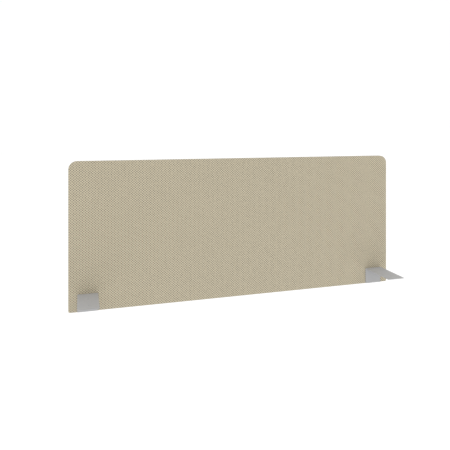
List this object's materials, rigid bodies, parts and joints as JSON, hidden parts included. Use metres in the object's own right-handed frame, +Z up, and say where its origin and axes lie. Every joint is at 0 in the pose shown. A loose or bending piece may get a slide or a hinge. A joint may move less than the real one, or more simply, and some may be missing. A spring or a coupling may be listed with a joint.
{
  "type": "desk privacy panel",
  "caption": "Fabric-covered privacy panel with rounded top corners, carried below the desktop's edge by bent-steel brackets that screw to the desktop's underside.",
  "frame": {"origin": "midway between the brackets along the panel, on the plane of the flange tops, which is the underside of the desktop, and in the plane of the cover's front face", "axes": "+X along the panel, to the right for the desk user; +Y away from the desk user, through the panel; +Z up"},
  "size_m": [1.09, 0.1624, 0.451],
  "materials": {
    "cover_fabric": "coarse knitted mesh, sand-coloured yarn over a grey backing, matt",
    "padding": "thin grey needled padding",
    "board": "raw particle board",
    "powder_coat": "light grey fine-texture powder coat on steel, satin",
    "zinc_plate": "bright zinc plating on steel"
  },
  "bodies": {
    "root": {"core_board": "board", "front_foam": "padding", "rear_foam": "padding", "front_cover": "cover_fabric", "rear_cover": "cover_fabric", "left_bracket": "powder_coat", "right_bracket": "powder_coat", "left_rear_plate": "powder_coat", "right_rear_plate": "powder_coat", "left_weld_stud_1": "zinc_plate", "left_weld_stud_2": "zinc_plate", "right_weld_stud_1": "zinc_plate", "right_weld_stud_2": "zinc_plate", "left_sleeve_nut_1": "zinc_plate", "left_sleeve_nut_2": "zinc_plate", "right_sleeve_nut_1": "zinc_plate", "right_sleeve_nut_2": "zinc_plate"}
  },
  "joints": []
}
